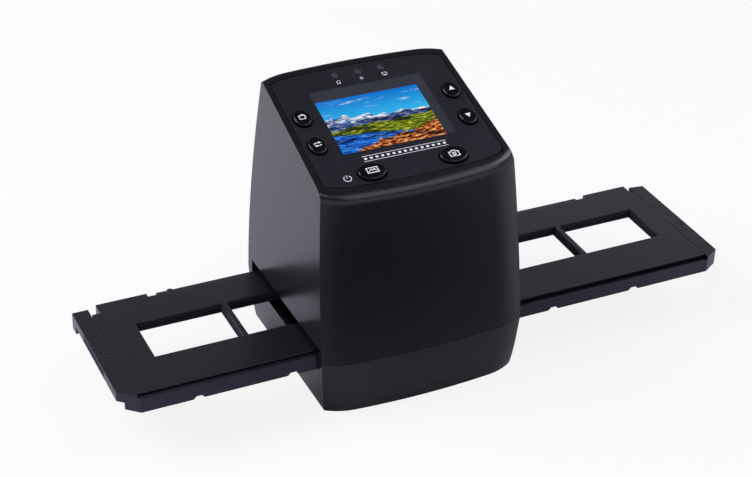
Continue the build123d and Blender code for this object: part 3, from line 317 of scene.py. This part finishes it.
dressNodes()
print("finishes:", len(finishes))


# the top panel's own frame: across it, up its slope and out of its face
pressAxis = Vector(next(j["axis"] for j in frame["joints"] if j["name"] == "mode_press"))
outward = -pressAxis.normalized()
upSlope = Vector((0, outward.z, -outward.y))
panelTurn = Matrix((Vector((1, 0, 0)), upSlope, outward)).transposed()


def panelSpan(node):
    # lowest and highest corner of a node, measured across the panel, up its slope and out of its face
    back = panelTurn.transposed()
    points = [back @ v.co for v in nodes[node].data.vertices]
    low = Vector([min(p[i] for p in points) for i in range(3)])
    high = Vector([max(p[i] for p in points) for i in range(3)])
    return low, high


def onPanel(across, up, height):
    return panelTurn @ Vector((across, up, height))


panelFace = panelSpan("top_panel")[1].z


def meshPiece(name, points, faces, material, body):
    mesh = bpy.data.meshes.new(name)
    mesh.from_pydata([tuple(p) for p in points], [], faces)
    mesh.validate()
    shape = bmesh.new()
    shape.from_mesh(mesh)
    bmesh.ops.recalc_face_normals(shape, faces=shape.faces)
    shape.to_mesh(mesh)
    shape.free()
    mesh.materials.append(material)
    piece = bpy.data.objects.new(name, mesh)
    bpy.context.scene.collection.objects.link(piece)
    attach(piece, body)
    return piece


def arc(centre, radius, start, end, steps):
    # points of an arc, its ends in degrees
    angles = [math.radians(start + (end - start) * i / steps) for i in range(steps + 1)]
    return [(centre[0] + radius * math.cos(a), centre[1] + radius * math.sin(a)) for a in angles]


sharpestCorner = 0.5                   # keeps a stroke's sharp corners from growing spikes
tiny = 1e-6


def stroke(points, width, closed=False):
    # the outline of a line of one width, as a strip of four-sided tiles
    points = [Vector(p) for p in points]
    count = len(points)
    left, right = [], []
    for i, here in enumerate(points):
        before = points[i - 1] if closed or i > 0 else here
        after = points[(i + 1) % count] if closed or i < count - 1 else here
        ahead = (after - here).normalized() if after != here else (here - before).normalized()
        behind = (here - before).normalized() if before != here else ahead
        middle = (ahead + behind).normalized() if (ahead + behind).length > tiny else ahead
        side = Vector((-middle.y, middle.x))
        reach = width / 2 / max(sharpestCorner, side.dot(Vector((-ahead.y, ahead.x))))
        left.append(here + side * reach)
        right.append(here - side * reach)
    last = count if closed else count - 1
    return [(left[i], left[(i + 1) % count], right[(i + 1) % count], right[i]) for i in range(last)]


def fan(points):
    # a filled shape as tiles round its middle
    middle = sum((Vector(p) for p in points), Vector((0, 0))) / len(points)
    count = len(points)
    return [(Vector(points[i]), Vector(points[(i + 1) % count]), middle) for i in range(count)]


inkLook = {
    "top": 0.03,                       # the film of ink reaches this far out of the surface
    "root": 0.02,                      # and this far into it
    "speckleMm": 0.25,
    "stops": [(0.3, "#d9dde2"), (0.65, "#f2f4f6")],
    "roughness": (0.4, 0.6),
    "ior": 1.5,
}


def printingInk(look):
    # white pad-printing ink: nearly flat, a little uneven where it was laid
    material, tree = emptyMaterial("whitePrintingInk")
    speckle = noise(tree, objectPoint(tree), look["speckleMm"])
    colour = ramp(tree, speckle, look["stops"])
    gloss = spread(tree, speckle, *look["roughness"])
    shader = addNode(tree, "ShaderNodeBsdfPrincipled", {"IOR": look["ior"]},
                     {"Base Color": colour, "Roughness": gloss})
    finishMaterial(tree, shader.outputs["BSDF"])
    return material


whiteInk = printingInk(inkLook)
rayStart = panelFace + 5 * mm          # above all that is printed on
keyDigits = 5                          # corners that agree to so many digits are one


def printed(name, groups, centre, node, body):
    # thin ink on a node's outer face: tiles that touch join into one closed film that follows the surface
    mesh = nodes[node].data
    tree = BVHTree.FromPolygons([v.co for v in mesh.vertices], [tuple(p.vertices) for p in mesh.polygons])
    points, faces = [], []
    corners = {}

    def corner(tilePoint, layer):
        key = (round(tilePoint.x, keyDigits), round(tilePoint.y, keyDigits), layer)
        if key not in corners:
            across = centre[0] + tilePoint.x * mm
            up = centre[1] + tilePoint.y * mm
            hit = tree.ray_cast(onPanel(across, up, rayStart), -outward)[0]
            height = outward.dot(hit) + (inkLook["top"] if layer else -inkLook["root"]) * mm
            corners[key] = len(points)
            points.append(onPanel(across, up, height))
        return corners[key]

    edges = {}
    for tile in (tile for group in groups for tile in group):
        tile = [Vector(p) for p in tile]
        area = sum(a.x * b.y - b.x * a.y for a, b in zip(tile, tile[1:] + tile[:1]))
        tile = tile if area > 0 else tile[::-1]
        top = [corner(p, 1) for p in tile]
        low = [corner(p, 0) for p in tile]
        faces.append(top)
        faces.append(low[::-1])
        for i in range(len(tile)):
            j = (i + 1) % len(tile)
            edges.setdefault(frozenset((top[i], top[j])), []).append((top[i], top[j], low[j], low[i]))
    for sides in edges.values():
        if len(sides) == 1:            # an edge of one tile only is an outer edge, and gets a side face
            faces.append(sides[0][::-1])
    meshPiece(name, points, faces, whiteInk, body)


def triangle(size, turn):
    # signs are lists of tile groups, in millimetres round their own middle
    return [fan([(size * math.sin(a + turn), size * math.cos(a + turn))
                 for a in (0, 2 * math.pi / 3, 4 * math.pi / 3)])]


def boxPoints(width, height, centre=(0, 0)):
    x, y = width / 2, height / 2
    return [(centre[0] + i * x, centre[1] + j * y) for i, j in ((-1, -1), (1, -1), (1, 1), (-1, 1))]


def pictureSign(width, height, line):
    hills = [(-0.36 * width, -0.2 * height), (-0.12 * width, 0.16 * height), (0.02 * width, -0.04 * height),
             (0.18 * width, 0.2 * height), (0.36 * width, -0.2 * height)]
    return [stroke(boxPoints(width, height), line, True), stroke(hills, line)]


def turnSign(size, line):
    # a square with an arrow round its corner
    head = [(0.62 * size, 0.1 * size), (0.34 * size, 0.02 * size), (0.6 * size, -0.22 * size)]
    return [stroke(boxPoints(size, size * 0.8, (-0.08 * size, -0.1 * size)), line, True),
            stroke(arc((0.0, 0.0), size * 0.55, 110, 20, 8), line), fan(head)]


def flipSign(size, line):
    # two arrows that pass each other
    signs = []
    for way in (-1, 1):
        shaft = [(way * x * size, way * y * size)
                 for x, y in ((-1.05, 0.14), (-0.75, 0.42), (-0.3, 0.54), (0.35, 0.54))]
        head = [(way * x * size, way * y * size) for x, y in ((0.35, 0.98), (1.15, 0.5), (0.35, 0.14))]
        signs += [stroke(shaft, line), fan(head)]
    return signs


def cameraSign(width, height, line):
    x, y = width / 2, height / 2
    body = [(-x, -y), (x, -y), (x, 0.55 * y), (0.5 * x, 0.55 * y), (0.32 * x, y), (-0.32 * x, y),
            (-0.5 * x, 0.55 * y), (-x, 0.55 * y)]
    return [stroke(body, line, True), stroke(arc((0, -0.18 * y), 0.42 * y, 0, 337.5, 15), line, True)]


def powerSign(radius, line):
    bar = [(0, 0.15 * radius), (0, 1.2 * radius)]
    return [stroke(arc((0, 0), radius, 125, 415, 22), line), stroke(bar, line)]


def cardSign(height, line):
    x, y = 0.42 * height, 0.5 * height
    return [stroke([(-x, -y), (x, -y), (x, y), (-0.3 * x, y), (-x, 0.45 * y)], line, True)]


def screenSign(height, line):
    x, y = 0.62 * height, 0.42 * height
    return [stroke(boxPoints(2 * x, 2 * y, (0, 0.12 * height)), line, True),
            stroke([(-0.4 * height, -0.5 * height), (0.4 * height, -0.5 * height)], line)]


keySigns = {
    "mode": turnSign(2.3, 0.34),
    "flip": flipSign(1.4, 0.38),
    "up": triangle(1.45, 0.0),
    "down": triangle(1.45, math.pi),
    "power": pictureSign(4.4, 2.5, 0.42),
    "capture": cameraSign(3.9, 2.9, 0.42),
}


def printKeys():
    for key, groups in keySigns.items():
        low, high = panelSpan(key + "_button")
        centre = ((low.x + high.x) / 2, (low.y + high.y) / 2)
        printed(key + "_sign", groups, centre, key + "_button", key + "_key")


printKeys()

panelSigns = {
    "powerPlace": (-10.2, -0.6),       # from the power key's middle
    "powerRadius": 1.45,
    "powerLine": 0.3,
    "statusDrop": 3.9,                 # status signs below their lights
    "statusHeight": 1.5,
    "statusRadius": 0.63,
    "statusLine": 0.2,
}


def printPanel():
    low, high = panelSpan("power_button")
    x, y = panelSigns["powerPlace"]
    centre = ((low.x + high.x) / 2 + x * mm, (low.y + high.y) / 2 + y * mm)
    mark = powerSign(panelSigns["powerRadius"], panelSigns["powerLine"])
    printed("power_mark", mark, centre, "top_panel", "scanner")
    low, high = panelSpan("led_windows")
    across = (low.x + high.x) / 2
    pitch = (high.x - low.x) / 2 - (high.y - low.y) / 2    # round lights: one at each end, one between
    up = (low.y + high.y) / 2 - panelSigns["statusDrop"] * mm
    size, line = panelSigns["statusHeight"], panelSigns["statusLine"]
    marks = {"card": cardSign(size, line), "mains": powerSign(panelSigns["statusRadius"], line),
             "screen": screenSign(size, line)}
    for step, (name, groups) in zip((-1, 0, 1), marks.items()):
        printed(name + "_mark", groups, (across + step * pitch, up), "top_panel", "scanner")


printPanel()
print("signs printed")


def rowTree():
    # slabs side by side along X, round the origin
    tree = bpy.data.node_groups.new("slabRow", "GeometryNodeTree")
    for name, kind in (("Count", "NodeSocketInt"), ("Pitch", "NodeSocketFloat"),
                       ("Size", "NodeSocketVector"), ("Material", "NodeSocketMaterial")):
        tree.interface.new_socket(name, in_out="INPUT", socket_type=kind)
    tree.interface.new_socket("Geometry", in_out="OUTPUT", socket_type="NodeSocketGeometry")
    given = addNode(tree, "NodeGroupInput").outputs
    length = maths(tree, "MULTIPLY", maths(tree, "SUBTRACT", given["Count"], 1.0), given["Pitch"])
    origin = addNode(tree, "ShaderNodeCombineXYZ", links={"X": maths(tree, "MULTIPLY", length, -0.5)})
    offset = addNode(tree, "ShaderNodeCombineXYZ", links={"X": given["Pitch"]})
    line = addNode(tree, "GeometryNodeMeshLine", links={
        "Count": given["Count"], "Start Location": origin.outputs["Vector"],
        "Offset": offset.outputs["Vector"]})
    slab = addNode(tree, "GeometryNodeMeshCube", links={"Size": given["Size"]})
    placed = addNode(tree, "GeometryNodeInstanceOnPoints", links={
        "Points": line.outputs["Mesh"], "Instance": slab.outputs["Mesh"]})
    real = addNode(tree, "GeometryNodeRealizeInstances", links={"Geometry": placed.outputs["Instances"]})
    painted = addNode(tree, "GeometryNodeSetMaterial", links={
        "Geometry": real.outputs["Geometry"], "Material": given["Material"]})
    addNode(tree, "NodeGroupOutput", links={"Geometry": painted.outputs["Geometry"]})
    return tree


slabRow = rowTree()


def rowPiece(name, row, material, place, body):
    # place puts the row, made round the origin, where it belongs
    holder = bpy.data.objects.new(name + "_source", bpy.data.meshes.new(name + "_source"))
    bpy.context.scene.collection.objects.link(holder)
    modifier = holder.modifiers.new("row", "NODES")
    modifier.node_group = slabRow
    values = {"Count": row["count"], "Pitch": row["pitch"] * mm, "Size": [s * mm for s in row["size"]],
              "Material": material}
    for item in slabRow.interface.items_tree:
        if item.in_out == "INPUT":
            modifier[item.identifier] = values[item.name]
    evaluated = holder.evaluated_get(bpy.context.evaluated_depsgraph_get())
    mesh = bpy.data.meshes.new_from_object(evaluated)
    bpy.data.objects.remove(holder)
    mesh.transform(place)
    mesh.name = name
    piece = bpy.data.objects.new(name, mesh)
    bpy.context.scene.collection.objects.link(piece)
    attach(piece, body)


filmStripMark = {
    # generic sign for film below the display: perforations between two thin lines
    "holes": {"count": 15, "pitch": 2.36, "size": (1.15, 0.95, 0.05)},
    "lines": {"count": 1, "pitch": 1.0, "size": (35.3, 0.22, 0.05)},
    "lineGap": 2.7,
    "drop": 4.3,                       # below the display window's front edge
}


def printFilmStrip():
    # on the panel's middle line, the slabs' tops level with the rest of the ink
    middle = panelSpan("display_window")[0].y - filmStripMark["drop"] * mm
    height = panelFace + (inkLook["top"] - filmStripMark["holes"]["size"][2] / 2) * mm
    shift = filmStripMark["lineGap"] / 2 * mm
    for name, row, up in (("film_mark_holes", "holes", middle),
                          ("film_mark_lower_line", "lines", middle - shift),
                          ("film_mark_upper_line", "lines", middle + shift)):
        place = Matrix.Translation(onPanel(0, up, height)) @ panelTurn.to_4x4()
        rowPiece(name, filmStripMark[row], whiteInk, place, "scanner")


printFilmStrip()
print("film mark printed")


picture = {
    "left": 0.0,                       # from the window's left edge
    "right": 4.1,                      # grey strip left on the right
    "bottom": 0.0,
    "top": 5.9,                        # grey strip left above
    "thickness": 0.035,
    "glow": 0.92,
    "unlit": "#08080a",
    "roughness": 0.2,
    "ior": 1.49,
    "shine": 0.15,
    # the sky and its clouds
    "sky": [(0.6, "#2fb4ee"), (1.0, "#0272d2")],
    "clouds": [(0.6, "#b4d6f0"), (0.95, "#f4f9ff")],
    "cloudGrain": (2.6, 8.5, 7.0, 3.0),
    "cloudEdge": (0.55, 0.7),
    # the shadows of clouds on the land
    "shadow": [(0.42, "#5d6088"), (0.53, "#ffffff")],
    "shadowGrain": (4.0, 11.0, 6.0, 15.0),
    "grainRoughness": 0.62,
    "skylineDetail": 4.0,
    "skylineBlur": 0.012,
}

# the land from far to near
# skyline: level, height of its waves, how many, their shift, slope to the right
# grain: how fine across and up, detail, shift
landscape = [
    {"skyline": (0.5, 0.34, 5.5, 1.3, -0.1), "grain": (13.0, 21.0, 8.0, 9.0),     # snowy hills
     "stops": [(0.38, "#2a4d94"), (0.46, "#7fa4da"), (0.54, "#f6f8fc")]},
    {"skyline": (0.4, 0.26, 4.0, 3.3, 0.05), "grain": (14.0, 30.0, 9.0, 12.0),    # bare slopes
     "stops": [(0.4, "#1d2f66"), (0.52, "#3c63a4"), (0.64, "#c9b7ae")]},
    {"skyline": (0.33, 0.2, 4.0, 6.1, 0.06), "grain": (14.0, 60.0, 10.0, 5.0),    # meadow
     "stops": [(0.38, "#16260a"), (0.48, "#4f7212"), (0.56, "#a3ab1e"), (0.66, "#f0d84a")]},
    {"skyline": (0.3, 0.1, 3.0, 7.7, -0.2), "grain": (9.0, 55.0, 9.0, 2.0),       # bay
     "stops": [(0.36, "#04227a"), (0.48, "#0b5fd0"), (0.58, "#2f95f0"), (0.68, "#d9efff")]},
    {"skyline": (-0.26, 0.42, 6.0, 8.4, 0.4), "grain": (17.0, 30.0, 11.0, 4.0),   # autumn wood
     "stops": [(0.38, "#1d0705"), (0.47, "#8c2f10"), (0.54, "#e08030"), (0.62, "#ffcf86")]},
]


def landscapeMaterial():
    # a made-up coast under clouds: hills behind, a bay on the left, an autumn wood on the right
    material, tree = emptyMaterial("litPicture")
    place = addNode(tree, "ShaderNodeUVMap", {"uv_map": "picture"}).outputs["UV"]
    parts = addNode(tree, "ShaderNodeSeparateXYZ", links={"Vector": place}).outputs
    u, v = parts["X"], parts["Y"]

    def grain(scaleX, scaleY, detail, shift):
        mapping = {"Scale": (scaleX, scaleY, 1.0), "Location": (shift, shift, 0)}
        mapped = addNode(tree, "ShaderNodeMapping", mapping, {"Vector": place}).outputs["Vector"]
        settings = {"Scale": 1.0, "Detail": detail, "Roughness": picture["grainRoughness"]}
        return addNode(tree, "ShaderNodeTexNoise", settings, {"Vector": mapped}).outputs["Fac"]

    def ridge(level, height, waves, shift, slope):
        # 1 below a wavy skyline
        rise = maths(tree, "MULTIPLY", height, grain(waves, 0.0, picture["skylineDetail"], shift))
        skyline = maths(tree, "ADD", maths(tree, "ADD", level, rise), maths(tree, "MULTIPLY", slope, u))
        return between(tree, 0.0, picture["skylineBlur"], maths(tree, "SUBTRACT", skyline, v))

    clouds = between(tree, *picture["cloudEdge"], grain(*picture["cloudGrain"]))
    colour = laidOver(tree, ramp(tree, v, picture["sky"]), clouds, ramp(tree, v, picture["clouds"]))
    masks = [ridge(*layer["skyline"]) for layer in landscape]
    for mask, layer in zip(masks, landscape):
        colour = laidOver(tree, colour, mask, ramp(tree, grain(*layer["grain"]), layer["stops"]))
    # the shadows lie on all that is below the farthest skyline
    shadow = ramp(tree, grain(*picture["shadowGrain"]), picture["shadow"])
    colour = laidOver(tree, colour, masks[0], shadow, "MULTIPLY")
    settings = {"Base Color": linear(picture["unlit"]), "Roughness": picture["roughness"],
                "IOR": picture["ior"], "Specular IOR Level": picture["shine"],
                "Emission Strength": picture["glow"]}
    shader = addNode(tree, "ShaderNodeBsdfPrincipled", settings, {"Emission Color": colour})
    finishMaterial(tree, shader.outputs["BSDF"])
    return material


def litPicture():
    low, high = panelSpan("display_window")
    left = low.x + picture["left"] * mm
    right = high.x - picture["right"] * mm
    bottom = low.y + picture["bottom"] * mm
    top = high.y - picture["top"] * mm
    heights = (high.z, high.z + picture["thickness"] * mm)
    corners = [(left, bottom), (right, bottom), (right, top), (left, top)]
    points = [onPanel(x, y, z) for z in heights for x, y in corners]
    faces = [(3, 2, 1, 0), (4, 5, 6, 7), (0, 1, 5, 4), (1, 2, 6, 5), (2, 3, 7, 6), (3, 0, 4, 7)]
    piece = meshPiece("screen_picture", points, faces, landscapeMaterial(), "scanner")
    layer = piece.data.uv_layers.new(name="picture")
    back = panelTurn.transposed()
    for loop in piece.data.loops:
        point = back @ piece.data.vertices[loop.vertex_index].co
        layer.data[loop.index].uv = ((point.x - left) / (right - left), (point.y - bottom) / (top - bottom))


litPicture()
print("display lit")


stage = {
    "floorSize": 6.0,
    "floorColour": "#e6e6e8",
    "whitening": 0.85,                 # share of plain white in the floor that the eye sees
    "mirrorWhitening": 0.06,           # share of its own light in the floor that gloss and glass see
    "reflectedShadePatch": {                     # painted shade on the floor in front of the object, seen in reflections only
        "middle": (0, -0.3, 0), "inner": 0.1, "outer": 0.55,
        "colours": [(0.0, "#44434a"), (0.24, "#8b8a93"), (0.36, "#dcdae4"), (1.0, "#fbf8ff")]},
    "lightColour": "#f5f4ff",
    "worldStrength": 0.68,             # as a light; seen directly or in a mirror it has its full white
    "ceiling": [(0.2, "#ffffff"), (0.6, "#626269")],
}

lamps = {
    # place and aim in metres, size in metres, power in watts
    "keyLeft": {"place": (-0.7, 0.3, 0.75), "aim": (0, 0, 0.06), "size": (0.7, 0.7), "power": 10.0},
    "overFront": {"place": (0.35, -0.5, 0.9), "aim": (0, 0, 0.08), "size": (0.8, 0.6), "power": 2.6},
    "rollLight": {"place": (0.66, 0.02, 0.78), "aim": (0, 0, 0.08), "size": (0.4, 0.4), "power": 2.2},
    "cornerSpark": {"place": (-0.3, -0.42, 0.95), "aim": (0, 0, 0.08), "size": (0.2, 0.2), "power": 0.5},
}


def seenBy(tree):
    # eye: 1 for rays from the camera; mirror: 1 for those that gloss and glass send on
    path = addNode(tree, "ShaderNodeLightPath").outputs
    mirror = maths(tree, "MAXIMUM", path["Is Glossy Ray"], path["Is Transmission Ray"])
    return path["Is Camera Ray"], mirror


def buildFloor():
    mesh = bpy.data.meshes.new("floor")
    half = stage["floorSize"] / 2
    corners = [(-half, -half, 0), (half, -half, 0), (half, half, 0), (-half, half, 0)]
    mesh.from_pydata(corners, [], [(0, 1, 2, 3)])
    floor = bpy.data.objects.new("floor", mesh)
    bpy.context.scene.collection.objects.link(floor)
    material, tree = emptyMaterial("paleFloor")
    eye, mirror = seenBy(tree)
    share = maths(tree, "ADD", maths(tree, "MULTIPLY", eye, stage["whitening"]),
                  maths(tree, "MULTIPLY", mirror, stage["mirrorWhitening"]))
    # painted shade: gloss and glass see the floor darker towards this patch's middle, the eye sees it plain
    patch = stage["reflectedShadePatch"]
    away = addNode(tree, "ShaderNodeVectorMath", {"operation": "DISTANCE", 1: patch["middle"]},
                   {0: objectPoint(tree)}).outputs["Value"]
    fade = addNode(tree, "ShaderNodeMapRange", {"From Min": patch["inner"], "From Max": patch["outer"]},
                   {"Value": away}).outputs["Result"]
    reflectedShade = ramp(tree, fade, patch["colours"])
    colour = laidOver(tree, stage["floorColour"], mirror, reflectedShade)
    glow = laidOver(tree, "#ffffff", mirror, reflectedShade)
    paint = addNode(tree, "ShaderNodeBsdfDiffuse", links={"Color": colour}).outputs["BSDF"]
    white = addNode(tree, "ShaderNodeEmission", {"Strength": 1.0}, {"Color": glow}).outputs["Emission"]
    both = addNode(tree, "ShaderNodeMixShader", links={0: share, 1: paint, 2: white})
    finishMaterial(tree, both.outputs["Shader"])
    mesh.materials.append(material)


def buildWorld():
    # white to the eye and in reflections near the horizon, greyer overhead like a studio ceiling
    world = bpy.data.worlds.new("studio")
    bpy.context.scene.world = world
    world.use_nodes = True
    tree = world.node_tree
    tree.nodes.clear()
    eye, mirror = seenBy(tree)
    extra = maths(tree, "MULTIPLY", maths(tree, "MAXIMUM", eye, mirror), 1 - stage["worldStrength"])
    strength = maths(tree, "ADD", extra, stage["worldStrength"])
    direction = addNode(tree, "ShaderNodeTexCoord").outputs["Generated"]
    height = addNode(tree, "ShaderNodeSeparateXYZ", links={"Vector": direction}).outputs["Z"]
    colour = ramp(tree, height, stage["ceiling"])
    room = addNode(tree, "ShaderNodeBackground", links={"Color": colour, "Strength": strength})
    addNode(tree, "ShaderNodeOutputWorld", links={"Surface": room.outputs["Background"]})


def buildLamps():
    for name, lamp in lamps.items():
        light = bpy.data.lights.new(name, "AREA")
        light.shape = "RECTANGLE"
        light.size, light.size_y = lamp["size"]
        light.energy = lamp["power"]
        light.color = linear(stage["lightColour"])[:3]
        lampObject = bpy.data.objects.new(name, light)
        bpy.context.scene.collection.objects.link(lampObject)
        lampObject.location = lamp["place"]
        towards = Vector(lamp["aim"]) - Vector(lamp["place"])
        lampObject.rotation_mode = "QUATERNION"
        lampObject.rotation_quaternion = towards.to_track_quat("-Z", "Y")


view = {
    # the photograph's viewpoint, fitted to the holder's windows and the casing's corners
    "azimuth": -25.843,
    "elevation": 31.825,
    "roll": 1.689,
    "distance": 0.72155,
    "offset": (-0.001939, 0.041232),
    "focalPixels": 1743.77,
    "imageWidth": 752,
    "sensor": 36.0,
    "near": 0.01,
}


def buildCamera():
    azimuth, elevation, roll = (math.radians(view[angle]) for angle in ("azimuth", "elevation", "roll"))
    back = Vector((math.sin(azimuth) * math.cos(elevation), -math.cos(azimuth) * math.cos(elevation),
                   math.sin(elevation)))
    right = Vector((math.cos(azimuth), math.sin(azimuth), 0))
    up = back.cross(right)
    rolledRight = right * math.cos(roll) + up * math.sin(roll)
    rolledUp = up * math.cos(roll) - right * math.sin(roll)
    turn = Matrix((rolledRight, rolledUp, back)).transposed()
    lens = bpy.data.cameras.new("photoCamera")
    lens.sensor_width = view["sensor"]
    lens.sensor_fit = "HORIZONTAL"
    lens.lens = view["sensor"] * view["focalPixels"] / view["imageWidth"]
    lens.clip_start = view["near"]
    camera = bpy.data.objects.new("photoCamera", lens)
    bpy.context.scene.collection.objects.link(camera)
    place = turn @ Vector((*view["offset"], view["distance"]))
    camera.matrix_world = Matrix.Translation(place) @ turn.to_4x4()
    bpy.context.scene.camera = camera


buildFloor()
buildWorld()
buildLamps()
buildCamera()
bpy.context.scene.view_settings.view_transform = "Standard"
print("stage set")
